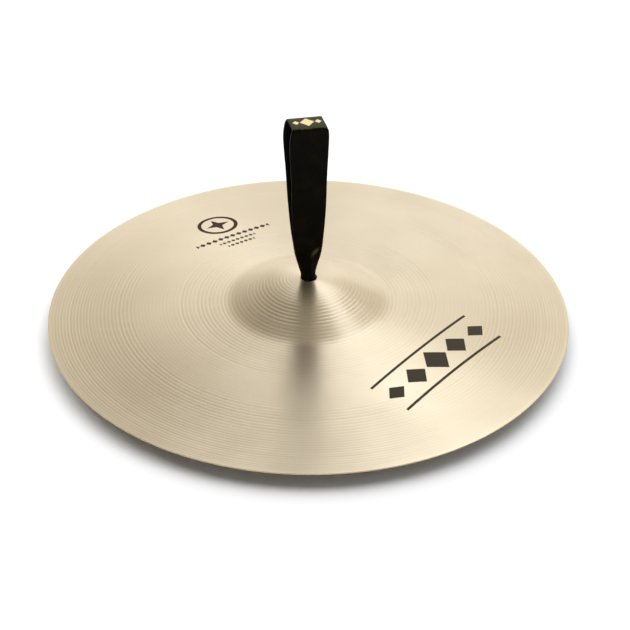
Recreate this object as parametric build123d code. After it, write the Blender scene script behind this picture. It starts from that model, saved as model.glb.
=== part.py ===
"""Orchestral cymbal with a leather hand strap, in millimetres.

The cymbal lies bell up on its rim. The origin is the centre of the rim's rest plane, +Z is up
through the bell hole, and the strap's width runs along X. The strap is one band of leather:
it stands in a loop, is pinched together above the bell, and its two ends are each slit into
two tails. The four tails go down through the bell hole and are tied in a flat crown knot.
"""
from build123d import *
from math import asin, cos, degrees, radians, sin, tan
import os

# Cymbal: radii are from the axis, slopes are how far the top surface falls outward, in degrees.
rim_radius = 203.2  # a 16 inch cymbal
rim_slope = 9.3
rim_thickness = 0.9
rest_land = 0.8  # width of the flat ring that the cymbal rests on
bell_thickness = 1.2
hole_radius = 6.35  # half an inch across, the usual bell hole

# Strap: one band of leather, standing as a loop above the bell.
leather = 2.3
loop_top = 185.5
loop_crease_radius = 3.0  # the two outer bends across the flat top of the loop
loop_top_half_depth = 9.2
loop_half_depth = 10.3  # below the creases the legs bulge out to this
loop_bulge_height = 165.0
loop_heel_radius = 4.5  # the two legs come together round the lean axis
lean_height = 59.0
loop_outline = [(6.9, 53.0), (8.9, 60.0), (10.8, 71.0), (12.1, 88.0), (13.6, 126.0), (15.1, 168.0)]
loop_top_half_width = 13.4

# Neck: the pinched part of the strap between the two bending axes.
sway_height = 50.0
neck_half_width = 5.5
neck_top_half_width = 6.6
neck_half_depth = 4.4
joint_gap = 0.3

# Tails: each one drops through its quarter of the hole and is woven into the knot.
tail_width = 8.0
tail_thickness = 2.1
tail_lane_gap = 2.2  # from the axis to the near edge of each tail's lane
bundle_radius = 5.75
bundle_gap = 0.15
knot_top = 40.2
knot_layer = 2.4  # from one layer of the knot to the next
tail_free_length = 17.0
tail_droop = 22.0  # degrees below level
tail_names = ["tail_back_right", "tail_back_left", "tail_front_left", "tail_front_right"]


def sine(slope):
    return sin(radians(slope))


def cosine(slope):
    return cos(radians(slope))


# radius, slope of the top surface, thickness: from row to row the section is an arc
stations = [
    (0.0, 0.0, bell_thickness),
    (16.0, 7.7, bell_thickness),  # edge of the bell's flat crown
    (35.0, 27.5, bell_thickness),  # shoulder: from here the bell's side is nearly a cone
    (50.0, 30.5, bell_thickness),  # its steepest
    (57.0, 28.0, bell_thickness),  # the fillet begins
    (66.5, 4.4, bell_thickness),  # the bell ends and the bow begins
    (98.0, 5.0, 1.1),
    (152.0, 11.5, 1.0),
    (172.0, 12.0, 0.95),
    (190.0, rim_slope, rim_thickness),  # the bow runs straight from here
    (rim_radius, rim_slope, rim_thickness),
]


def arc_drop(width, slope_in, slope_out):
    """Fall of the surface over a stretch of this width, on an arc or on a straight cone."""
    if slope_in == slope_out:
        return width * tan(radians(slope_in))
    return width * (cosine(slope_in) - cosine(slope_out)) / (sine(slope_out) - sine(slope_in))


def station_points():
    """Start, middle and end of every stretch: radius, height, slope and thickness."""
    height = (rim_thickness - rest_land * sine(rim_slope)) / cosine(rim_slope)
    stretches = []
    for (r_in, slope_in, wall_in), (r_out, slope_out, wall_out) in zip(stations[-2::-1], stations[:0:-1]):
        middle = (r_in + r_out) / 2
        slope = degrees(asin((sine(slope_in) + sine(slope_out)) / 2))
        wall = (wall_in + wall_out) / 2
        outer = (r_out, height, slope_out, wall_out)
        centre = (middle, height + arc_drop(r_out - middle, slope, slope_out), slope, wall)
        height += arc_drop(r_out - r_in, slope_in, slope_out)
        stretches.append((outer, centre, (r_in, height, slope_in, wall_in)))
    return stretches


def underside(point):
    """The point below, one wall thickness in along the normal."""
    radius, height, slope, wall = point
    return (radius - wall * sine(slope), height - wall * cosine(slope))


def make_cymbal():
    """Lathed bronze disc: domed bell, fillet, curved bow and a straight run to the rim."""
    stretches = station_points()
    with BuildPart() as part:
        with BuildSketch(Plane.XZ):
            with BuildLine():
                for outer, centre, inner in stretches:
                    if outer[2] == inner[2]:
                        Line(outer[:2], inner[:2])
                        Line((rim_radius - rest_land, 0), underside(inner))
                    else:
                        ThreePointArc(outer[:2], centre[:2], inner[:2])
                        ThreePointArc(underside(outer), underside(centre), underside(inner))
                crown = stretches[-1][-1]
                Line(crown[:2], underside(crown))
                Line((rim_radius, 0), stretches[0][0][:2])
                Line((rim_radius, 0), (rim_radius - rest_land, 0))
            make_face()
        revolve(axis=Axis.Z)
        Cylinder(hole_radius, 4 * rim_radius, mode=Mode.SUBTRACT)
    return part.part


def loop_side(inset):
    """Side view of the loop: a flat top between two creases, bulging legs, and the heel."""
    crease = loop_crease_radius
    crease_centre = (loop_top_half_depth - crease, loop_top - crease)
    with BuildSketch(Plane.YZ) as side:
        with Locations(crease_centre, (-crease_centre[0], crease_centre[1])):
            Circle(crease - inset)
        with Locations((0, loop_bulge_height)):
            Circle(loop_half_depth - inset)
        with Locations((0, lean_height)):
            Circle(loop_heel_radius - inset)
        make_hull()
    return side.sketch


def make_loop():
    """The strap's loop: a band bent double, widest below its creases and tapering to the neck."""
    band = extrude(loop_side(0), 2 * loop_half_depth, both=True)
    band -= extrude(loop_side(leather), 4 * loop_half_depth, both=True)
    with BuildSketch(Plane.XZ) as outline:
        with BuildLine():
            right = Spline(*loop_outline, (loop_top_half_width, loop_top))
            mirror(right, Plane.YZ)
            Line((-loop_top_half_width, loop_top), (loop_top_half_width, loop_top))
            Line((-loop_outline[0][0], loop_outline[0][1]), loop_outline[0])
        make_face()
    return band & extrude(outline.sketch, 2 * loop_half_depth, both=True)


def make_neck():
    """The pinched neck: a round lower end to roll sideways on, and a flat top for the heel."""
    top = lean_height - loop_heel_radius - joint_gap
    with BuildSketch(Plane.XZ) as face:
        with Locations((0, sway_height)):
            Circle(neck_half_width)
        with BuildLine():
            Polyline(
                (-neck_half_width, sway_height),
                (neck_half_width, sway_height),
                (neck_top_half_width, top),
                (-neck_top_half_width, top),
                close=True,
            )
        make_face()
        with Locations((0, top + neck_half_width)):
            Rectangle(4 * neck_half_width, 2 * neck_half_width, mode=Mode.SUBTRACT)
    return extrude(face.sketch, neck_half_depth, both=True)


def tail_side():
    """Side view of a tail from under the hole: out, folded back, through the weave and free."""
    near = tail_lane_gap
    far = tail_lane_gap + tail_width
    base = knot_top - tail_thickness / 2
    crossing = base - knot_layer
    lowest = crossing - knot_layer
    middle = (crossing + lowest) / 2
    with BuildSketch(Plane.XZ) as side:
        with BuildLine():
            Line((near, base), (far, base))
            ThreePointArc((far, base), (far + knot_layer, crossing), (far, lowest))
            Line((far, lowest), (near, lowest))
            TangentArc((near, lowest), (0, middle), tangent=(-1, 0))
            TangentArc((-near, crossing), (0, middle), tangent=(1, 0))
            Line((-near, crossing), (-far, crossing))
            bend = JernArc((-far, crossing), (-1, 0), 2 * tail_width, tail_droop)
            Line(bend @ 1, (bend @ 1) + (bend % 1) * tail_free_length)
        trace(line_width=tail_thickness)
    return side.sketch


def make_tail(index):
    """One quarter of the knot: a post through the hole and a ribbon woven with the others."""
    ribbon = extrude(tail_side(), tail_width, dir=(0, 1, 0))
    ribbon = Pos(0, tail_lane_gap, 0) * ribbon
    post_top = sway_height - neck_half_width - joint_gap
    post_foot = knot_top - tail_thickness
    post = extrude(Plane.XY.offset(post_foot) * Circle(bundle_radius), post_top - post_foot)
    corner = Box(
        2 * bundle_radius,
        2 * bundle_radius,
        2 * post_top,
        align=(Align.MIN, Align.MIN, Align.MIN),
    )
    post &= Pos(bundle_gap, bundle_gap, 0) * corner
    return Rot(0, 0, 90 * index) * (ribbon + post)


def main():
    os.makedirs("parts", exist_ok=True)
    nodes = {"cymbal": make_cymbal(), "strap_loop": make_loop(), "strap_neck": make_neck()}
    for index, name in enumerate(tail_names):
        nodes[name] = make_tail(index)
    for name, shape in nodes.items():
        export_step(shape, f"parts/{name}.step")
        box = shape.bounding_box()
        print(f"{name}: {len(shape.solids())} solid, {shape.volume:.0f} mm3, {box.min} to {box.max}")


main()
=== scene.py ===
"""Looks of the orchestral cymbal and its leather hand strap, in metres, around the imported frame."""
import math

import bpy
from mathutils import Matrix, Vector, noise


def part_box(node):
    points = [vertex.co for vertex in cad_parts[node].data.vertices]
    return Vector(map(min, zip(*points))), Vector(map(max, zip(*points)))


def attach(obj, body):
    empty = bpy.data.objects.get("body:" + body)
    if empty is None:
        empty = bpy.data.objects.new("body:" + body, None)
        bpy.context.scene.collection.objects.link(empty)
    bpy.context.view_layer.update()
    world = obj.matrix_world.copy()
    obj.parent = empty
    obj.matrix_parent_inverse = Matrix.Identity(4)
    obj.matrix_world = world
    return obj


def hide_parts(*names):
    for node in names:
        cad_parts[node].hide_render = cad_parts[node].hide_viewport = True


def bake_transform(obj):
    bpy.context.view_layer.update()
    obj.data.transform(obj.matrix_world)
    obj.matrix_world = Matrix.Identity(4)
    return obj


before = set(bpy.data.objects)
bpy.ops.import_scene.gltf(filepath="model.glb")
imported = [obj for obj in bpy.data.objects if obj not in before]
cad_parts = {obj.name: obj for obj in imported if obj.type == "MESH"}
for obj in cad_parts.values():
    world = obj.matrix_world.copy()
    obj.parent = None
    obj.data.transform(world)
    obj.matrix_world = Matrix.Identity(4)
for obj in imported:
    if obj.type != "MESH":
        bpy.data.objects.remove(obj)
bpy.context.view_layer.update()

MM = 0.001

# Cymbal: the same turned profile as the CAD solid. Radius, slope of the top in degrees, wall.
RIM_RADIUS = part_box("cymbal")[1].x
RIM_SLOPE = 9.3
RIM_WALL = 0.9 * MM
REST_LAND = 0.8 * MM
BELL_WALL = 1.2 * MM
HOLE_RADIUS = 6.35 * MM
STATIONS = [
    (0.0, 0.0, BELL_WALL),
    (16.0 * MM, 7.7, BELL_WALL),
    (35.0 * MM, 27.5, BELL_WALL),
    (50.0 * MM, 30.5, BELL_WALL),
    (57.0 * MM, 28.0, BELL_WALL),
    (66.5 * MM, 4.4, BELL_WALL),
    (98.0 * MM, 5.0, 1.1 * MM),
    (152.0 * MM, 11.5, 1.0 * MM),
    (172.0 * MM, 12.0, 0.95 * MM),
    (190.0 * MM, RIM_SLOPE, RIM_WALL),
    (RIM_RADIUS, RIM_SLOPE, RIM_WALL),
]
TURN_STEPS = 192
UV_CENTRE = 0.5  # the uv is the plan in metres, moved on by this
UNDER_STEP = 2.1 * MM  # from ring to ring on the underside
HOLE_MARGIN = 0.2 * MM  # no grooved ring is nearer the hole than this
RIM_MARGIN = 0.4 * MM  # or nearer the rim than this
RIM_ROUND_IN = 0.2 * MM  # the rim's upper edge is rounded over this width
RIM_ROUND_DOWN = 0.16 * MM  # and this height
FOOT_ROUND_IN = 0.12 * MM  # its lower edge likewise
FOOT_ROUND_UP = 0.14 * MM
TOP_RELIEF_FADE = 2.5 * MM  # the hammer marks die out this far from the rim
UNDER_RELIEF_FADE = 6 * MM

# Hammer marks, in two layers: their size, their height, and where in the noise they are read.
HAMMER_LAYERS = [
    (19 * MM, 0.010 * MM, 3.1),
    (44 * MM, 0.03 * MM, 7.7),
]

# Lathe work, from the bell outward in millimetres: where each stretch starts, how far apart its
# grooves are, and how deep they are there. The depth runs on from one row to the next.
TURNING = [
    (0.0, 2.6, 0.05),
    (20.0, 2.6, 0.08),
    (30.0, 2.6, 0.21),
    (46.0, 2.6, 0.24),
    (58.0, 2.8, 0.14),
    (68.0, 3.1, 0.17),
    (98.0, 3.1, 0.17),
    (110.0, 2.7, 0.06),
    (134.0, 3.0, 0.07),
    (146.5, 3.0, 0.25),
    (153.0, 2.9, 0.17),
    (168.0, 2.5, 0.14),
    (186.0, 2.5, 0.13),
    (197.0, 2.0, 0.12),
    (201.0, 2.0, 0.0),
    (RIM_RADIUS / MM, 2.0, 0.0),
]
RINGS_PER_GROOVE = 5
DEEPEST_GROOVE = 0.26  # in millimetres
GROOVE_POWER = 0.7  # below 1: narrow beds between broad crests
GROOVE_MEAN_SHARE = 0.75  # of its stretch's depth
GROOVE_VARIETY = 0.7  # how much one groove differs from the next
GROOVE_LEAST_SHARE = 0.3
GROOVE_NOISE_STEP = 0.83  # in the noise, from one groove to the next
ON_CREST = 0.5  # a groove count that lies on the crest between two grooves
FINE = 1e-6  # smaller than any difference that counts

LEATHER = 2.3 * MM
LOOP_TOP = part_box("strap_loop")[1].z

# Strap, in millimetres: height, half its width, half the depth over both legs, half the arc in
# degrees that each leg is curled into a gutter, and how far the strap stands aside.
STRAP_STATIONS = [
    (40.5, 6.0, 6.1, 90, 0.0),
    (44.0, 5.9, 5.9, 88, -0.2),
    (47.0, 5.8, 5.6, 84, -0.6),
    (52.0, 7.0, 5.6, 72, -0.9),
    (57.5, 8.35, 5.75, 53, -1.05),
    (63.5, 9.8, 6.0, 36, -1.1),
    (72.0, 10.9, 6.4, 20, -1.15),
    (88.0, 12.2, 7.3, 7, -1.6),
    (112.0, 13.4, 8.4, 2, -2.0),
    (140.0, 13.95, 9.6, 0.5, -2.65),
    (165.0, 15.1, 10.3, 0.5, -3.1),
    (173.0, 15.25, 10.2, 0.5, -2.9),
    (181.0, 14.7, 9.7, 0.5, -2.4),
    (184.4, 13.4, 9.5, 0.5, -2.3),
]
LOW_Z = STRAP_STATIONS[0][0] * MM
SPLIT_Z = 52.0 * MM  # the throat's pieces end here and the loop's band begins
BEND_Z = 181.0 * MM  # the flat top and its two creases begin here
CREASE_SHARPNESS = 4.0  # 2 would be an ellipse, and more is squarer
SKEW = 0.11  # the front leg stands to the right of the back leg by this share of the depth
SKEW_RISE = (60, 100)  # from this height, over this height, in millimetres
LEAST_CURL = 0.5  # degrees: a flat leg is still a very wide gutter
CROWDING = 1.25  # above 1, the rows of the legs crowd towards the neck
LEG_STEPS = 110
TOP_STEPS = 48
CUT_EDGE = [(0.3, 0.86), (0.0, 0.45), (0.0, -0.45), (0.3, -0.86)]  # inset and height, top to bottom
INNER_SIDE = 0.4  # the uv of the leather's inner side is moved on by this, clear of the stamp

# Fold: a short raised crease on the front leg, from foot to head, in millimetres.
FOLD_FOOT = (0.3, 65.0)
FOLD_HEAD = (8.6, 75.0)
FOLD_HEIGHT = 0.75
FOLD_HALF_WIDTH = 1.5
FOLD_RISE = (-0.15, 0.3)  # from this share of its length, over this share
FOLD_FALL = (0.8, 0.5)

# Slit: each leg is cut down its middle below the neck, in millimetres.
SLIT_DEPTH_SHARE = 0.45
SLIT_HALF_WIDTH = 0.55
SLIT_END = (50, 9)  # it runs out from this height, over this height

# Pleats, where the legs are gathered above the neck, and a ripple all over, in millimetres.
PLEAT_HEIGHT = 0.32
PLEAT_TURN = 7.4  # radians from the middle of a leg to its edge
PLEAT_SHIFT = 0.6  # the other way on the back leg
PLEAT_RISE = (48, 8)
PLEAT_FALL = (62, 26)
RIPPLE_HEIGHT = 0.16
RIPPLE_ACROSS = 13
RIPPLE_ALONG = 21
RIPPLE_LAYER = 1.7

# Knot: one tail in the lane beside +X. x, y, z, half width, half thickness in millimetres.
TAIL_KEYS = [
    (3.0, 2.9, 43.4, 2.5, 1.6),
    (3.0, 3.1, 41.6, 2.7, 1.5),
    (4.1, 4.6, 39.9, 3.5, 1.2),
    (6.6, 6.0, 39.2, 4.0, 1.05),
    (10.3, 6.2, 39.15, 4.15, 1.05),
    (12.2, 6.2, 38.5, 4.15, 1.05),
    (12.95, 6.2, 36.75, 4.15, 1.05),
    (12.2, 6.2, 35.0, 4.15, 1.05),
    (10.3, 6.2, 34.35, 4.15, 1.05),
    (6.2, 6.2, 34.15, 4.15, 1.1),
    (2.3, 6.2, 34.4, 4.1, 1.05),
    (0.0, 6.2, 35.55, 4.1, 1.0),
    (-2.3, 6.2, 36.75, 4.1, 1.05),
    (-6.2, 6.2, 36.95, 4.15, 1.05),
    (-10.3, 6.2, 36.7, 4.15, 1.05),
    (-15.0, 6.1, 35.6, 4.2, 1.05),
    (-21.0, 5.9, 33.2, 4.1, 1.05),
    (-27.5, 5.7, 30.2, 3.7, 1.0),
]
TAIL_NODES = ["tail_back_right", "tail_back_left", "tail_front_left", "tail_front_right"]
TAIL_ROWS_PER_KEY = 7
TAIL_SLANT = 1.6  # the cut end is slanted by this much each side, over its last rows
TAIL_SLANT_ROWS = 6
TAIL_CUPPING = 0.25  # the free end's edges droop by this much, over these rows
TAIL_CUPPING_ROWS = 30
TAIL_WANDER = 0.12  # the leather's unevenness, read from the noise by these steps
TAIL_NOISE_ACROSS = 2
TAIL_NOISE_APART = 9
TAIL_NOISE_ROWS = 9
TAIL_UV_APART = 0.2  # every tail takes its grain from its own place


def smooth(x):
    """From 0 to 1 with x, easing in and out."""
    x = min(max(x, 0.0), 1.0)
    return x * x * (3 - 2 * x)


def ramp(x, start, length):
    """0 before the start, then smoothly up to 1 over that length."""
    return smooth((x - start) / length)


def spline(keys, t):
    """Catmull-Rom through rows of numbers; t runs from 0 to len(keys) - 1."""
    i = min(int(t), len(keys) - 2)
    f = t - i
    p0, p1, p2, p3 = (keys[min(max(i + k, 0), len(keys) - 1)] for k in (-1, 0, 1, 2))
    out = []
    for a, b, c, d in zip(p0, p1, p2, p3):
        curve = c - a + f * (2 * a - 5 * b + 4 * c - d + f * (3 * (b - c) + d - a))
        out.append(b + 0.5 * f * curve)
    return out


def station_at(keys, x):
    """The other columns of a table at x, smooth between its rows; x is the first column."""
    x = min(max(x, keys[0][0]), keys[-1][0])
    i = max(k for k in range(len(keys) - 1) if keys[k][0] <= x)
    step = keys[i + 1][0] - keys[i][0]
    f = (x - keys[i][0]) / step

    def tangent(k, column):
        low, high = max(k - 1, 0), min(k + 1, len(keys) - 1)
        return (keys[high][column] - keys[low][column]) / (keys[high][0] - keys[low][0]) * step

    out = []
    for column in range(1, len(keys[0])):
        start, end = keys[i][column], keys[i + 1][column]
        held = start * (1 + 2 * f) * (1 - f) ** 2 + end * f * f * (3 - 2 * f)
        bent = tangent(i, column) * f * (1 - f) ** 2 + tangent(i + 1, column) * f * f * (f - 1)
        out.append(held + bent)
    return out


def turning_stretches():
    """Start, end and spacing of every stretch of lathe work, and the depth at its two ends."""
    for (low, spacing, depth), (high, _, end_depth) in zip(TURNING, TURNING[1:]):
        yield low, high, spacing, depth, end_depth


def skin(name, rows, uv_rows, closed_rows=False, caps=True):
    """A mesh over rings of points. Each ring is closed; uv_rows hold one more uv than points."""
    count = len(rows[0])
    points = [p for row in rows for p in row]
    faces, uvs = [], []
    last = len(rows) if closed_rows else len(rows) - 1
    for i in range(last):
        j = (i + 1) % len(rows)
        for k in range(count):
            m = (k + 1) % count
            faces.append((i * count + k, i * count + m, j * count + m, j * count + k))
            uvs += [uv_rows[i][k], uv_rows[i][k + 1], uv_rows[i + 1][k + 1], uv_rows[i + 1][k]]
    if caps and not closed_rows:
        for i, order in ((0, range(count - 1, -1, -1)), (len(rows) - 1, range(count))):
            faces.append(tuple(i * count + k for k in order))
            uvs += [uv_rows[i][k] for k in order]
    mesh = bpy.data.meshes.new(name)
    mesh.from_pydata(points, [], faces)
    layer = mesh.uv_layers.new(name="UVMap")
    layer.data.foreach_set("uv", [c for uv in uvs for c in uv])
    mesh.polygons.foreach_set("use_smooth", [True] * len(mesh.polygons))
    mesh.update()
    piece = bpy.data.objects.new(name, mesh)
    bpy.context.scene.collection.objects.link(piece)
    return piece


# ---------------------------------------------------------------- materials

class Nodes:
    """A material under construction: short calls that add nodes and return their outputs."""

    def __init__(self, name):
        self.material = bpy.data.materials.new(name)
        self.material.use_nodes = True
        self.tree = self.material.node_tree
        self.shader = self.tree.nodes["Principled BSDF"]
        coords = self.tree.nodes.new("ShaderNodeTexCoord")
        self.place = coords.outputs["Object"]
        self.uv = coords.outputs["UV"]
        self.normal = self.tree.nodes.new("ShaderNodeNewGeometry").outputs["Normal"]

    def put(self, node, name, value):
        socket = node.inputs[name]
        if isinstance(value, bpy.types.NodeSocket):
            self.tree.links.new(value, socket)
        else:
            socket.default_value = value

    def shade(self, **values):
        for name, value in values.items():
            self.put(self.shader, name.replace("_", " "), value)

    def math(self, operation, *values):
        node = self.tree.nodes.new("ShaderNodeMath")
        node.operation = operation
        for i, value in enumerate(values):
            self.put(node, i, value)
        return node.outputs[0]

    def add(self, *values):
        out = values[0]
        for value in values[1:]:
            out = self.math("ADD", out, value)
        return out

    def minus(self, a, b):
        return self.math("SUBTRACT", a, b)

    def times(self, a, b):
        return self.math("MULTIPLY", a, b)

    def size(self, value):
        return self.math("ABSOLUTE", value)

    def either(self, *masks):
        out = masks[0]
        for mask in masks[1:]:
            out = self.math("MAXIMUM", out, mask)
        return out

    def length(self, x, y):
        return self.math("SQRT", self.add(self.times(x, x), self.times(y, y)))

    def split(self, vector):
        node = self.tree.nodes.new("ShaderNodeSeparateXYZ")
        self.put(node, 0, vector)
        return node.outputs

    def join(self, x, y, z):
        node = self.tree.nodes.new("ShaderNodeCombineXYZ")
        for i, value in enumerate((x, y, z)):
            self.put(node, i, value)
        return node.outputs[0]

    def noise(self, scale, vector, detail=2.0, roughness=0.5):
        node = self.tree.nodes.new("ShaderNodeTexNoise")
        self.put(node, "Vector", vector)
        self.put(node, "Scale", scale)
        self.put(node, "Detail", detail)
        self.put(node, "Roughness", roughness)
        return node.outputs["Fac"]

    def cells(self, scale, vector):
        node = self.tree.nodes.new("ShaderNodeTexVoronoi")
        node.feature = "F1"
        self.put(node, "Vector", vector)
        self.put(node, "Scale", scale)
        return node.outputs["Distance"]

    def remap(self, value, low, high, to_low=0.0, to_high=1.0, smooth=True):
        node = self.tree.nodes.new("ShaderNodeMapRange")
        node.interpolation_type = "SMOOTHSTEP" if smooth else "LINEAR"
        for i, number in enumerate((value, low, high, to_low, to_high)):
            self.put(node, i, number)
        return node.outputs[0]

    def mix(self, share, a, b):
        node = self.tree.nodes.new("ShaderNodeMix")
        node.data_type = "RGBA"
        self.put(node, 0, share)
        self.put(node, 6, a)
        self.put(node, 7, b)
        return node.outputs[2]

    def bump(self, height, distance, strength=1.0):
        node = self.tree.nodes.new("ShaderNodeBump")
        self.put(node, "Height", height)
        self.put(node, "Distance", distance)
        self.put(node, "Strength", strength)
        return node.outputs[0]

    def inside(self, distance, edge):
        """1 where distance is negative, with an edge of that width."""
        return self.remap(distance, -edge, edge, 1.0, 0.0)

    def lozenge(self, x, y, centre, half_length, half_height, edge):
        """A lozenge on the x axis."""
        along = self.math("DIVIDE", self.size(self.minus(x, centre)), half_length)
        across = self.math("DIVIDE", self.size(y), half_height)
        reach = self.minus(self.add(along, across), 1.0)
        return self.inside(self.times(reach, half_height), edge)

    def bar(self, x, y, centre, half_length, half_height, edge):
        """A bar along x, centred on the y axis at this height."""
        along = self.minus(self.size(x), half_length)
        across = self.minus(self.size(self.minus(y, centre)), half_height)
        return self.inside(self.either(along, across), edge)

    def row(self, x, y, centre, half_length, spacing, half_height, edge):
        """A row of small lozenges, side by side."""
        cell = self.math("PINGPONG", x, spacing / 2)
        half_length_each = ROW_LOZENGE_SHARE * spacing
        one = self.lozenge(cell, self.minus(y, centre), 0.0, half_length_each, half_height, edge)
        ends = self.inside(self.minus(self.size(x), half_length), edge)
        return self.times(one, ends)

    def ring(self, x, y, radius, half_width, edge):
        """A ring round the origin."""
        off = self.size(self.minus(self.length(x, y), radius))
        return self.inside(self.minus(off, half_width), edge)


def print_axes(nodes, x, y, degrees, radius):
    """Coordinates of a print: along the tangent and outward, from a point on the top."""
    c, s = math.cos(math.radians(degrees)), math.sin(math.radians(degrees))
    out = nodes.add(nodes.times(x, c), nodes.times(y, s))
    along = nodes.minus(nodes.times(y, c), nodes.times(x, s))
    return along, nodes.minus(out, radius)


BRONZE_LIGHT = (0.87, 0.75, 0.565, 1)
BRONZE_DARK = (0.78, 0.66, 0.48, 1)
# painted shade: a darker colour for the beds of the grooves
GROOVE_PAINTED_SHADE = (0.60, 0.47, 0.30, 1)
RIM_BRIGHT = (0.92, 0.79, 0.55, 1)
INK_BROWN = (0.040, 0.026, 0.010, 1)
INK_MAROON = (0.050, 0.003, 0.004, 1)
BRONZE_ROUGHNESS = 0.38
BRONZE_ROUGHNESS_SWING = 0.04
BRONZE_ANISOTROPY = 0.85
QUARTER_TURN = 0.25  # the highlights stretch across the tool lines
BRONZE_SPECULAR = 0.25
BUMP_STRENGTH = 0.5  # the same for bronze and leather
TOOL_LINES_SCALE = 2600.0  # per metre of radius
TOOL_LINES_SHARE = 0.8  # of the tone, and the rest is cloud
TOOL_LINES_HEIGHT = 0.02 * MM
CLOUD_SCALE = 22.0
TONE_RANGE = (0.36, 0.62)
TONE_ROUGHNESS_RANGE = (0.3, 0.7)
GROOVE_BED = (0.05, 0.60)  # the painted shade fades from full to none between these heights of the wall
GROOVE_PAINTED_SHADE_SHARE = 0.35
GROOVE_DRIFT_SCALE = 0.9
GROOVE_DRIFT_RANGE = (0.3, 0.6)
GROOVE_DRIFT_LEAST = 0.35
RIM_BAND = (RIM_RADIUS - 3.0 * MM, RIM_RADIUS - 1.8 * MM)
RIM_BAND_SHARE = 0.6
BROWN_SHARE = 0.95
MAROON_SHARE = 0.96
INK_ROUGHNESS = 0.2  # the ink is rougher than the bronze by this much
INK_METAL_LOSS = 0.9

# Prints: where each lies on the top, as degrees round and radius, then its shapes.
PRINT_EDGE = 0.15 * MM  # how softly the ink ends
LOZENGE_BAND = (-46.0, 122.0 * MM)
LOZENGE_COUNT = 5
LOZENGE_SPACING = 26.0 * MM
LOZENGE_HALF = 12.5 * MM  # half the middle lozenge's length and height
LOZENGE_LENGTH_TAPER = 1.5 * MM  # less for every step from the middle
LOZENGE_HEIGHT_TAPER = 2.6 * MM
BAND_LINE = (17.0 * MM, 62.0 * MM, 1.1 * MM)  # offset, half length and half width
STAR_BADGE = (112.0, 138.0 * MM)
STAR_RING = (14.5 * MM, 1.5 * MM)  # radius and half width
STAR_REACH = 10.5 * MM
STAR_WAIST = 3.6 * MM
BADGE_ROWS = [  # offset, half length, spacing and half height
    (-23.5 * MM, 33.0 * MM, 5.5 * MM, 2.6 * MM),
    (-31.0 * MM, 16.0 * MM, 4.0 * MM, 1.8 * MM),
    (-37.0 * MM, 12.0 * MM, 4.0 * MM, 1.8 * MM),
]
ROW_LOZENGE_SHARE = 0.46  # half the length of each small lozenge, as a share of their spacing


def groove_phase(nodes, radius):
    """Number of grooves between the axis and this radius."""
    parts = []
    for low, high, spacing, *_ in turning_stretches():
        count = (high - low) / spacing
        parts.append(nodes.remap(radius, low * MM, high * MM, 0.0, count, smooth=False))
    return nodes.add(*parts)


def groove_strength(nodes, radius):
    """The grooves' depth at this radius, as a share of the deepest."""
    deepest = max(row[2] for row in TURNING)
    parts = [TURNING[0][2] / deepest]
    for low, high, _, depth, end_depth in turning_stretches():
        change = (end_depth - depth) / deepest
        parts.append(nodes.remap(radius, low * MM, high * MM, 0.0, change, smooth=False))
    return nodes.add(*parts)


def lozenge_band(nodes, x, y):
    """A row of lozenges, largest in the middle, between two lines."""
    along, out = print_axes(nodes, x, y, *LOZENGE_BAND)
    offset, half_line, half_width = BAND_LINE
    band = []
    for i in range(LOZENGE_COUNT):
        step = i - LOZENGE_COUNT // 2
        half_length = LOZENGE_HALF - LOZENGE_LENGTH_TAPER * abs(step)
        half_height = LOZENGE_HALF - LOZENGE_HEIGHT_TAPER * abs(step)
        centre = step * LOZENGE_SPACING
        band.append(nodes.lozenge(along, out, centre, half_length, half_height, PRINT_EDGE))
    for side in (-1, 1):
        band.append(nodes.bar(along, out, side * offset, half_line, half_width, PRINT_EDGE))
    return nodes.either(*band)


def star_badge(nodes, x, y):
    """A four-pointed star in a ring."""
    along, out = print_axes(nodes, x, y, *STAR_BADGE)
    return nodes.either(
        nodes.ring(along, out, *STAR_RING, PRINT_EDGE),
        nodes.lozenge(along, out, 0.0, STAR_WAIST, STAR_REACH, PRINT_EDGE),
        nodes.lozenge(along, out, 0.0, STAR_REACH, STAR_WAIST, PRINT_EDGE),
    )


def badge_rows(nodes, x, y):
    """Three rows of small lozenges under the badge."""
    along, out = print_axes(nodes, x, y, *STAR_BADGE)
    return nodes.either(*(nodes.row(along, out, *row, PRINT_EDGE) for row in BADGE_ROWS))


def groove_painted_shade(nodes, radius):
    """Painted shade in the beds of the grooves: most in the deepest, and uneven from groove to
    groove.
    """
    phase = groove_phase(nodes, radius)
    wall = nodes.size(nodes.math("SINE", nodes.times(phase, math.pi)))
    bed = nodes.remap(wall, *GROOVE_BED, 1.0, 0.0)
    drift = nodes.noise(GROOVE_DRIFT_SCALE, nodes.join(phase, 0.0, 0.0), detail=1.0)
    share = nodes.remap(drift, *GROOVE_DRIFT_RANGE, GROOVE_DRIFT_LEAST, 1.0)
    return nodes.times(nodes.times(bed, groove_strength(nodes, radius)), share)


def bronze_tone(nodes, radius):
    """Fine tool lines round the disc, and the tone that they make together with a faint cloud."""
    spot = nodes.join(nodes.times(radius, TOOL_LINES_SCALE), 0.0, 0.0)
    lines = nodes.noise(1.0, spot, detail=2.0)
    cloud = nodes.noise(CLOUD_SCALE, nodes.place)
    cloud_part = nodes.times(cloud, 1 - TOOL_LINES_SHARE)
    return lines, nodes.add(nodes.times(lines, TOOL_LINES_SHARE), cloud_part)


def radial_tangent(nodes):
    """Runs round the axis, along the tool lines."""
    tangent = nodes.tree.nodes.new("ShaderNodeTangent")
    tangent.direction_type = "RADIAL"
    tangent.axis = "Z"
    return tangent.outputs[0]


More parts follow.
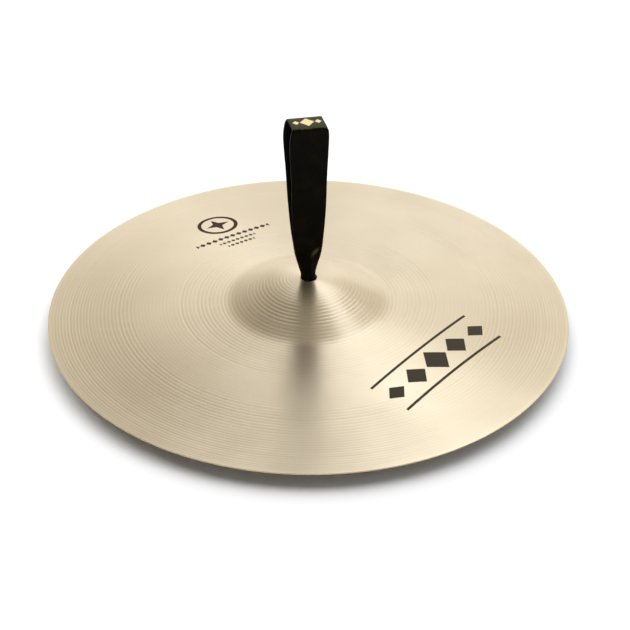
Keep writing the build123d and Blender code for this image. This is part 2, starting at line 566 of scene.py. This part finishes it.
def bronze_material():
    """Lathed bronze: turned grooves with painted shade in their beds, fine tool lines, and ornaments
    in ink.
    """
    nodes = Nodes("lathed_bronze")
    x, y, _ = nodes.split(nodes.place)
    radius = nodes.length(x, y)
    lines, tone = bronze_tone(nodes, radius)
    colour = nodes.mix(nodes.remap(tone, *TONE_RANGE), BRONZE_DARK, BRONZE_LIGHT)
    # painted shade darkens the beds of the grooves
    shade = nodes.times(groove_painted_shade(nodes, radius), GROOVE_PAINTED_SHADE_SHARE)
    colour = nodes.mix(shade, colour, GROOVE_PAINTED_SHADE)
    rim_share = nodes.remap(radius, *RIM_BAND)
    colour = nodes.mix(nodes.times(rim_share, RIM_BAND_SHARE), colour, RIM_BRIGHT)

    top = nodes.math("GREATER_THAN", nodes.split(nodes.normal)[2], 0.0)
    brown = nodes.times(nodes.either(lozenge_band(nodes, x, y), badge_rows(nodes, x, y)), top)
    maroon = nodes.times(star_badge(nodes, x, y), top)
    colour = nodes.mix(nodes.times(brown, BROWN_SHARE), colour, INK_BROWN)
    colour = nodes.mix(nodes.times(maroon, MAROON_SHARE), colour, INK_MAROON)
    ink = nodes.either(brown, maroon)
    roughest = BRONZE_ROUGHNESS + BRONZE_ROUGHNESS_SWING
    smoothest = BRONZE_ROUGHNESS - BRONZE_ROUGHNESS_SWING
    roughness = nodes.remap(tone, *TONE_ROUGHNESS_RANGE, roughest, smoothest)
    nodes.shade(
        Base_Color=colour,
        Metallic=nodes.minus(1.0, nodes.times(ink, INK_METAL_LOSS)),
        Roughness=nodes.add(roughness, nodes.times(ink, INK_ROUGHNESS)),
        Specular_IOR_Level=BRONZE_SPECULAR,
        Anisotropic=BRONZE_ANISOTROPY,
        Anisotropic_Rotation=QUARTER_TURN,
        Tangent=radial_tangent(nodes),
        Normal=nodes.bump(lines, TOOL_LINES_HEIGHT, BUMP_STRENGTH),
    )
    return nodes.material


LEATHER_DARK = (0.0022, 0.0018, 0.0006, 1)
LEATHER_WORN = (0.008, 0.0045, 0.0015, 1)
# painted light: the loop's flat top is coloured lighter, as where light falls on it
LEATHER_PAINTED_TOP_LIGHT = (0.12, 0.11, 0.065, 1)
# painted highlight: a brown streak along the front leg's fold
FOLD_PAINTED_HIGHLIGHT = (0.10, 0.068, 0.028, 1)
FOLD_SPOT = (4.9 * MM, -122.0 * MM)  # the middle of the painted highlight on the fold: across and along the band
FOLD_REACH = (6.0 * MM, 3.0 * MM)  # how far the painted highlight fades out along the fold and aside
FOLD_TURN = math.radians(50)
HIGHLIGHT_CORE = 0.1  # full strength within this share of its reach
FOIL_GOLD = (0.93, 0.78, 0.42, 1)
LEATHER_SPECULAR = 0.06
LEATHER_ROUGHNESS = (0.44, 0.58)
LEATHER_RELIEF = 0.12 * MM
GRAIN_SCALE = 1150.0
CREASE_SCALE = 330.0
CREASE_RANGE = (0.3, 0.7)
WEAR_SCALE = 60.0
WEAR_RANGE = (0.40, 0.75)
TOP_LIGHT_HALF_LENGTH = 7.8 * MM  # the painted light on the loop's flat top reaches this far each way
TOP_LIGHT_WANDER = 2.0 * MM  # its edge strays by up to half of this
TOP_LIGHT_EDGE = 0.5 * MM
PIT_RANGE = (0.0, 0.55)  # of the grain, from the floor of a pit to its brim
PIT_TOP_LIGHT_SHARE = 0.75
STAMP_LOZENGES = [  # offset, half length and half height
    (0.0, 5.6 * MM, 5.4 * MM),
    (-8.6 * MM, 2.7 * MM, 2.6 * MM),
    (8.6 * MM, 2.7 * MM, 2.6 * MM),
]
STAMP_WORN_RANGE = (0.28, 0.40)  # the foil has worn off where the creases are lower than this
STAMP_METAL = 0.9
STAMP_SMOOTHING = 0.1


def fold_painted_highlight(nodes, across, along):
    """A soft painted highlight on the front leg's fold."""
    x = nodes.minus(across, FOLD_SPOT[0])
    y = nodes.minus(along, FOLD_SPOT[1])
    c, s = math.cos(FOLD_TURN), math.sin(FOLD_TURN)
    run = nodes.add(nodes.times(x, c), nodes.times(y, s))
    aside = nodes.minus(nodes.times(y, c), nodes.times(x, s))
    off = nodes.length(nodes.times(run, 1 / FOLD_REACH[0]), nodes.times(aside, 1 / FOLD_REACH[1]))
    return nodes.remap(off, HIGHLIGHT_CORE, 1.0, 1.0, 0.0)


def painted_top_light(nodes, along, grain, creases):
    """Painted light on the loop's flat top, a little less in the pits of the grain, with a wandering
    edge.
    """
    wander = nodes.times(nodes.minus(creases, 0.5), TOP_LIGHT_WANDER)
    reach = nodes.add(nodes.size(along), wander)
    top_light = nodes.inside(nodes.minus(reach, TOP_LIGHT_HALF_LENGTH), TOP_LIGHT_EDGE)
    return nodes.times(top_light, nodes.remap(grain, *PIT_RANGE, PIT_TOP_LIGHT_SHARE, 1.0))


def foil_stamp(nodes, across, along, creases):
    """Three lozenges of foil across the loop's top, worn off in places."""
    lozenges = (nodes.lozenge(across, along, *row, PRINT_EDGE) for row in STAMP_LOZENGES)
    return nodes.times(nodes.either(*lozenges), nodes.remap(creases, *STAMP_WORN_RANGE))


def leather_material(name, stamped=False):
    """Black strap leather with a pebbled grain; the loop's top carries painted light and a foil
    stamp, and the front leg's fold a painted highlight.
    """
    nodes = Nodes(name)
    grain = nodes.cells(GRAIN_SCALE, nodes.uv)
    creases = nodes.noise(CREASE_SCALE, nodes.uv, detail=4.0, roughness=0.6)
    wear = nodes.noise(WEAR_SCALE, nodes.uv, detail=3.0)
    height = nodes.add(nodes.times(grain, 0.5), creases)
    colour = nodes.mix(nodes.remap(wear, *WEAR_RANGE), LEATHER_DARK, LEATHER_WORN)
    roughness = nodes.remap(creases, *CREASE_RANGE, *LEATHER_ROUGHNESS)
    metallic = 0.0
    if stamped:
        across, along, _ = nodes.split(nodes.uv)
        # painted light on the loop's flat top
        colour = nodes.mix(painted_top_light(nodes, along, grain, creases), colour, LEATHER_PAINTED_TOP_LIGHT)
        # painted highlight on the front leg's fold
        colour = nodes.mix(fold_painted_highlight(nodes, across, along), colour, FOLD_PAINTED_HIGHLIGHT)
        stamp = foil_stamp(nodes, across, along, creases)
        colour = nodes.mix(stamp, colour, FOIL_GOLD)
        metallic = nodes.times(stamp, STAMP_METAL)
        roughness = nodes.minus(roughness, nodes.times(stamp, STAMP_SMOOTHING))
    nodes.shade(
        Base_Color=colour,
        Metallic=metallic,
        Roughness=roughness,
        Specular_IOR_Level=LEATHER_SPECULAR,
        Normal=nodes.bump(height, LEATHER_RELIEF, BUMP_STRENGTH),
    )
    return nodes.material


# ---------------------------------------------------------------- cymbal

def sine(slope):
    return math.sin(math.radians(slope))


def cosine(slope):
    return math.cos(math.radians(slope))


def slope_and_wall(radius):
    """Slope of the top surface and the wall there: the sine of the slope runs straight."""
    for inner, outer in zip(STATIONS, STATIONS[1:]):
        if radius <= outer[0]:
            f = (radius - inner[0]) / (outer[0] - inner[0])
            bend = sine(inner[1]) + f * (sine(outer[1]) - sine(inner[1]))
            return math.degrees(math.asin(bend)), inner[2] + f * (outer[2] - inner[2])
    return STATIONS[-1][1:]


def arc_drop(width, slope_in, slope_out):
    """Fall of the surface over a stretch of this width, on an arc or on a straight cone."""
    if abs(slope_in - slope_out) < FINE:
        return width * math.tan(math.radians(slope_in))
    return width * (cosine(slope_in) - cosine(slope_out)) / (sine(slope_out) - sine(slope_in))


def top_height(radius):
    """Height of the smooth top surface, added up from the rim inward."""
    height = (RIM_WALL - REST_LAND * sine(RIM_SLOPE)) / cosine(RIM_SLOPE)
    for inner, outer in zip(STATIONS[-2::-1], STATIONS[:0:-1]):
        start = max(radius, inner[0])
        if start < outer[0]:
            height += arc_drop(outer[0] - start, slope_and_wall(start)[0], outer[1])
    return height


def ring_radii():
    """Radii from the hole to the rim, the same few in every groove, each with its groove count."""
    rings = []
    count = 0.0
    for low, high, spacing, *_ in turning_stretches():
        turns = (high - low) / spacing
        first = math.ceil(count * RINGS_PER_GROOVE + FINE)
        last = math.floor((count + turns) * RINGS_PER_GROOVE + FINE)
        for k in range(first, last + 1):
            phase = k / RINGS_PER_GROOVE
            radius = (low + (phase - count) * spacing) * MM
            if HOLE_RADIUS + HOLE_MARGIN < radius < RIM_RADIUS - RIM_MARGIN:
                rings.append((radius, phase))
        count += turns
    return [(HOLE_RADIUS, ON_CREST)] + rings + [(RIM_RADIUS - RIM_ROUND_IN, ON_CREST)]


def groove_height(radius, phase):
    """Height of the turned surface: cusped grooves whose depth varies a little."""
    depth = station_at([(row[0], row[2]) for row in TURNING], radius / MM)[0]
    depth = min(max(depth, 0.0), DEEPEST_GROOVE)
    spot = Vector((math.floor(phase + 0.5) * GROOVE_NOISE_STEP, 0.5, 0.0))
    own = GROOVE_MEAN_SHARE + GROOVE_VARIETY * noise.noise(spot)
    cusp = 1 - abs(math.sin(math.pi * phase)) ** GROOVE_POWER
    return -MM * depth * max(own, GROOVE_LEAST_SHARE) * cusp


def hammer_height(x, y):
    """Shallow hammer marks under the turning."""
    relief = 0.0
    for size, height, layer in HAMMER_LAYERS:
        relief += height * noise.noise(Vector((x / size, y / size, layer)))
    return relief


def cymbal_rings():
    """Radius, height, slope, groove and share of hammered relief, once round the wall."""
    rings = []
    for radius, phase in ring_radii():
        hammered = smooth((RIM_RADIUS - radius) / TOP_RELIEF_FADE)
        slope = slope_and_wall(radius)[0]
        rings.append((radius, top_height(radius), slope, groove_height(radius, phase), hammered))
    edge = top_height(RIM_RADIUS)
    rings.append((RIM_RADIUS, edge - RIM_ROUND_DOWN, RIM_SLOPE, 0, 0))
    rings.append((RIM_RADIUS, FOOT_ROUND_UP, RIM_SLOPE, 0, 0))
    rings.append((RIM_RADIUS - FOOT_ROUND_IN, 0.0, RIM_SLOPE, 0, 0))
    rings.append((RIM_RADIUS - REST_LAND, 0.0, RIM_SLOPE, 0, 0))
    steps = round((RIM_RADIUS - HOLE_RADIUS) / UNDER_STEP)
    for i in range(1, steps + 1):
        radius = RIM_RADIUS + (HOLE_RADIUS - RIM_RADIUS) * i / steps
        slope, wall = slope_and_wall(radius)
        low = top_height(radius) - wall * cosine(slope)
        hammered = smooth((RIM_RADIUS - radius) / UNDER_RELIEF_FADE)
        rings.append((max(radius - wall * sine(slope), HOLE_RADIUS), low, slope, 0, hammered))
    return rings


def make_cymbal():
    """The cymbal's skin, once round the wall from the hole to the rim and back underneath."""
    rows, uvs = [], []
    angles = [2 * math.pi * k / TURN_STEPS for k in range(TURN_STEPS + 1)]
    circle = [(math.cos(angle), math.sin(angle)) for angle in angles]
    for radius, height, slope, groove, hammered in cymbal_rings():
        row = []
        for c, s in circle[:-1]:
            relief = groove + hammered * hammer_height(radius * c, radius * s)
            reach = radius + relief * sine(slope)
            row.append((reach * c, reach * s, height + relief * cosine(slope)))
        rows.append(row[::-1])
        uvs.append([(UV_CENTRE + radius * c, UV_CENTRE + radius * s) for c, s in reversed(circle)])
    uvs.append(uvs[0])
    piece = skin("cymbal_bronze", rows, uvs, closed_rows=True)
    piece.data.materials.append(bronze_material())
    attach(piece, "cymbal")
    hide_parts("cymbal")


# ---------------------------------------------------------------- strap

def section(columns=25, round_share=0.06):
    """A ribbon's cross-section, once round: lateral share and thickness share of each point."""
    flat = 1 - round_share
    across = [flat * (2 * k / (columns - 1) - 1) for k in range(columns)]
    edge = [(1 - inset * round_share, height) for inset, height in CUT_EDGE]
    half = [(u, 1) for u in across] + edge
    return half + [(-u, -h) for u, h in half]


def strap_line():
    """Middle of the leather in side view, front foot to back foot: y and z of each row."""
    front = []
    for i in range(LEG_STEPS + 1):
        z = LOW_Z + (BEND_Z - LOW_Z) * (i / LEG_STEPS) ** CROWDING
        depth = station_at(STRAP_STATIONS, z / MM)[1] * MM - LEATHER / 2
        front.append((-depth, z))
    half_depth = -front[-1][0]
    rise = LOOP_TOP - LEATHER / 2 - BEND_Z
    power = 2 / CREASE_SHARPNESS
    top = []
    for i in range(1, TOP_STEPS):
        angle = math.pi * i / TOP_STEPS
        c, s = math.cos(angle), math.sin(angle)
        top.append((-math.copysign(abs(c) ** power, c) * half_depth, BEND_Z + s ** power * rise))
    return front + top + [(-y, z) for y, z in front[::-1]]


def fold_height(x, z):
    """A short raised fold where the front leg is gathered above the neck."""
    foot, head = Vector(FOLD_FOOT), Vector(FOLD_HEAD)
    spot = Vector((x / MM, z / MM)) - foot
    run = (head - foot).normalized()
    along = spot.dot(run) / (head - foot).length
    aside = spot.cross(run)
    share = ramp(along, *FOLD_RISE) * (1 - ramp(along, *FOLD_FALL))
    return FOLD_HEIGHT * MM * share * math.exp(-((aside / FOLD_HALF_WIDTH) ** 2))


def strap_point(y, z, normal, u, h, along):
    """A point of the strap's skin: lateral share u and thickness share h at one row."""
    level = z / MM
    half, _, curl, aside = station_at(STRAP_STATIONS, level)
    bend = math.radians(max(curl, LEAST_CURL))
    radius = (half * MM - LEATHER / 2 * math.sin(bend)) / math.sin(bend)
    turn = bend * u
    middle = math.exp(-((u * half / SLIT_HALF_WIDTH) ** 2))
    slit = SLIT_DEPTH_SHARE * middle * (1 - ramp(level, *SLIT_END))
    thick = LEATHER / 2 * h
    if h > 0:
        thick *= 1 - slit
    x = (radius + thick) * math.sin(turn)
    gathered = ramp(level, *PLEAT_RISE) * (1 - ramp(level, *PLEAT_FALL))
    pleats = PLEAT_HEIGHT * MM * gathered * math.cos(PLEAT_TURN * u + math.copysign(PLEAT_SHIFT, y))
    spot = Vector((x / (RIPPLE_ACROSS * MM), along / (RIPPLE_ALONG * MM), RIPPLE_LAYER))
    ripple = RIPPLE_HEIGHT * MM * noise.noise(spot)
    offset = thick * math.cos(turn) - radius * (1 - math.cos(turn)) + ripple + pleats
    if y < 0:
        offset += fold_height(x, z)
    skew = -SKEW * y * ramp(level, *SKEW_RISE)
    return Vector((x + aside * MM + skew, y + normal[0] * offset, z + normal[1] * offset))


def make_strap():
    """Rings of points and uvs along the strap, and the row where the throat ends."""
    line = strap_line()
    loop = section()
    rows, uvs, heights = [], [], []
    along = 0.0
    middle = sum(math.dist(a, b) for a, b in zip(line, line[1:])) / 2
    for i, (y, z) in enumerate(line):
        before, after = line[max(i - 1, 0)], line[min(i + 1, len(line) - 1)]
        if i:
            along += math.dist(line[i - 1], line[i])
        tangent = Vector((after[0] - before[0], after[1] - before[1])).normalized()
        normal = (-tangent.y, tangent.x)
        rows.append([strap_point(y, z, normal, u, h, along) for u, h in loop])
        half = station_at(STRAP_STATIONS, z / MM)[0] * MM
        wide = [(u * half, along - middle + (INNER_SIDE if h < 0 else 0)) for u, h in loop]
        uvs.append(wide + [wide[0]])
        heights.append(z)
    split = min(range(len(heights) // 2), key=lambda i: abs(heights[i] - SPLIT_Z))
    return rows, uvs, split


def strap_pieces():
    """One band for the loop, and a front and a back piece from the neck down into the hole."""
    rows, uvs, split = make_strap()
    last = len(rows) - 1
    band = skin("strap_band", rows[split:last - split + 1], uvs[split:last - split + 1], caps=False)
    band.data.materials.append(leather_material("strap_leather_stamped", stamped=True))
    front = skin("strap_throat_front", rows[:split + 1], uvs[:split + 1], caps=False)
    back = skin("strap_throat_back", rows[last - split:], uvs[last - split:], caps=False)
    plain = leather_material("strap_leather")
    for piece in (front, back):
        piece.data.materials.append(plain)
        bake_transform(piece)
        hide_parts("strap_neck")
    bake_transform(band)
    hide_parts("strap_loop")


def make_tail(index, material):
    """One slit end of the strap: down through the bell hole and woven into the crown knot."""
    loop = section(columns=9, round_share=0.12)
    rows, uvs = [], []
    steps = TAIL_ROWS_PER_KEY * (len(TAIL_KEYS) - 1)
    turn = math.radians(90 * index)
    c, s = math.cos(turn), math.sin(turn)
    keys = [spline(TAIL_KEYS, i * (len(TAIL_KEYS) - 1) / steps) for i in range(steps + 1)]
    along = 0.0
    for i, (x, y, z, half, thick) in enumerate(keys):
        before, after = keys[max(i - 1, 0)], keys[min(i + 1, steps)]
        if i:
            along += math.dist(keys[i - 1][:3], keys[i][:3]) * MM
        tangent = Vector((after[0] - before[0], after[2] - before[2])).normalized()
        normal = (-tangent.y, tangent.x)
        slant = TAIL_SLANT * ramp(i, steps - TAIL_SLANT_ROWS, TAIL_SLANT_ROWS)
        cupping = TAIL_CUPPING * ramp(i, steps - TAIL_CUPPING_ROWS, TAIL_CUPPING_ROWS)
        row = []
        for u, h in loop:
            spot = (u * TAIL_NOISE_ACROSS + index * TAIL_NOISE_APART, i / TAIL_NOISE_ROWS, h)
            wander = TAIL_WANDER * noise.noise(Vector(spot))
            offset = thick * h - cupping * u * u + wander
            px = x + normal[0] * offset - slant * u
            py = y + u * half
            pz = z + normal[1] * offset
            row.append((MM * (px * c - py * s), MM * (px * s + py * c), MM * pz))
        rows.append(row)
        shift = TAIL_UV_APART * index
        wide = [(u * half * MM + shift, along + (INNER_SIDE if h < 0 else 0)) for u, h in loop]
        uvs.append(wide + [wide[0]])
    piece = skin(f"knot_{TAIL_NODES[index]}", rows, uvs)
    piece.data.materials.append(material)
    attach(piece, "knot")
    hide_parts(TAIL_NODES[index])


# ---------------------------------------------------------------- stage

CAMERA_DISTANCE = 4.5
CAMERA_AZIMUTH = math.radians(-10.0)
CAMERA_ELEVATION = math.radians(34.31)
CAMERA_ROLL = math.radians(0.53)
CAMERA_LENS = 329.3
CAMERA_REACH = 50
AIM_RIGHT = 5.2 * MM
AIM_UP = 5.8 * MM
FLOOR_SIZE = 6.0
FLOOR_COLOUR = (0.77, 0.82, 0.93, 1)
FLOOR_ROUGHNESS = 0.9
FLOOR_DROP = 12.0 * MM  # the cymbal hangs from its strap this far above the floor
SOFTBOX_DISTANCE = 2.6
SOFTBOX_SIZE = 1.1
SOFTBOX_COLOUR = (0.80, 0.885, 1.0)
SKY_COLOUR = (1.0, 0.93, 0.80, 1)
SKY_STRENGTH = 0.42  # of the pale sky, on average
SKY_SWING = 0.29  # it is this much brighter towards its bright side and darker on the other
SKY_BRIGHT_SIDE = 47.0  # azimuth in degrees, as for a softbox
FLOOR_WASH_STRENGTH = 3.7  # of a broad light that reaches only the floor
FLOOR_WASH_COLOUR = (1.0, 0.92, 0.79)
FLOOR_WASH_SPREAD = math.radians(100)
FLOOR_WASH_TILT = math.radians(42)  # it comes from this far behind overhead
FLOOR_WASH_TURN = math.radians(12)  # and from a little left of straight behind
SOFTBOXES = [  # name, azimuth, elevation and power
    ("back_low", 75, 12, 1.9),
    ("back", 90, 25, 2.9),
    ("back_right", 75, 40, 0.9),
    ("back_high", 90, 55, 3.6),
    ("back_right_high", 60, 55, 4.4),
    ("back_top", 90, 72, 1.0),
    ("right_high", 0, 55, 5.0),
]


def make_camera():
    """A long lens from a little left of the strap's front."""
    sin_a, cos_a = math.sin(CAMERA_AZIMUTH), math.cos(CAMERA_AZIMUTH)
    sin_e, cos_e = math.sin(CAMERA_ELEVATION), math.cos(CAMERA_ELEVATION)
    back = Vector((sin_a * cos_e, -cos_a * cos_e, sin_e))
    right = Vector((cos_a, sin_a, 0))
    up = back.cross(right)
    rolled = right * math.cos(CAMERA_ROLL) + up * math.sin(CAMERA_ROLL)
    up = back.cross(rolled)
    data = bpy.data.cameras.new("camera")
    data.lens = CAMERA_LENS
    data.clip_end = CAMERA_REACH
    camera = bpy.data.objects.new("camera", data)
    bpy.context.scene.collection.objects.link(camera)
    place = back * CAMERA_DISTANCE + rolled * AIM_RIGHT + up * AIM_UP
    turn = Matrix((rolled, up, back)).transposed()
    camera.matrix_world = Matrix.Translation(place) @ turn.to_4x4()
    bpy.context.scene.camera = camera


def make_softbox(name, azimuth, elevation, power):
    """A softbox facing the cymbal. Azimuth 0 is picture right and 90 is behind the cymbal."""
    turn = math.radians(azimuth) + CAMERA_AZIMUTH
    tilt = math.radians(elevation)
    flat = math.cos(tilt)
    place = Vector((math.cos(turn) * flat, math.sin(turn) * flat, math.sin(tilt)))
    data = bpy.data.lights.new(name, "AREA")
    data.shape = "SQUARE"
    data.size = SOFTBOX_SIZE
    data.energy = power
    data.color = SOFTBOX_COLOUR
    light = bpy.data.objects.new(name, data)
    light.location = place * SOFTBOX_DISTANCE
    light.rotation_euler = place.to_track_quat("Z", "Y").to_euler()
    bpy.context.scene.collection.objects.link(light)


def make_sky():
    """A pale sky that brightens evenly towards the bright side of the studio."""
    world = bpy.data.worlds.new("studio")
    world.use_nodes = True
    bpy.context.scene.world = world
    tree = world.node_tree
    background = tree.nodes["Background"]
    background.inputs["Color"].default_value = SKY_COLOUR
    turn = math.radians(SKY_BRIGHT_SIDE) + CAMERA_AZIMUTH
    towards = tree.nodes.new("ShaderNodeTexCoord")
    share = tree.nodes.new("ShaderNodeVectorMath")
    share.operation = "DOT_PRODUCT"
    share.inputs[1].default_value = (math.cos(turn), math.sin(turn), 0)
    strength = tree.nodes.new("ShaderNodeMath")
    strength.operation = "MULTIPLY_ADD"
    strength.inputs[1].default_value = SKY_SWING
    strength.inputs[2].default_value = SKY_STRENGTH
    tree.links.new(towards.outputs["Generated"], share.inputs[0])
    tree.links.new(share.outputs["Value"], strength.inputs[0])
    tree.links.new(strength.outputs[0], background.inputs["Strength"])


def make_floor():
    """A plain pale floor below the cymbal."""
    mesh = bpy.data.meshes.new("floor")
    half = FLOOR_SIZE / 2
    corners = [(-half, -half, 0), (half, -half, 0), (half, half, 0), (-half, half, 0)]
    mesh.from_pydata(corners, [], [(0, 1, 2, 3)])
    floor = bpy.data.objects.new("floor", mesh)
    floor.location.z = -FLOOR_DROP
    bpy.context.scene.collection.objects.link(floor)
    nodes = Nodes("pale_floor")
    nodes.shade(Base_Color=FLOOR_COLOUR, Roughness=FLOOR_ROUGHNESS)
    mesh.materials.append(nodes.material)
    return floor


def make_floor_wash(floor):
    """A broad light from behind that reaches the floor and nothing else, and keeps it white."""
    sun_data = bpy.data.lights.new("floor_wash", "SUN")
    sun_data.angle = FLOOR_WASH_SPREAD
    sun_data.energy = FLOOR_WASH_STRENGTH
    sun_data.color = FLOOR_WASH_COLOUR
    sun = bpy.data.objects.new("floor_wash", sun_data)
    sun.rotation_euler = (-FLOOR_WASH_TILT, 0, CAMERA_AZIMUTH + FLOOR_WASH_TURN)
    bpy.context.scene.collection.objects.link(sun)
    lit = bpy.data.collections.new("floor_only")
    lit.objects.link(floor)
    sun.light_linking.receiver_collection = lit


def make_stage():
    floor = make_floor()
    make_sky()
    for softbox in SOFTBOXES:
        make_softbox(*softbox)
    make_floor_wash(floor)
    bpy.context.scene.view_settings.view_transform = "Standard"


make_cymbal()
strap_pieces()
tail_leather = leather_material("tail_leather")
for tail in range(len(TAIL_NODES)):
    make_tail(tail, tail_leather)
make_camera()
make_stage()
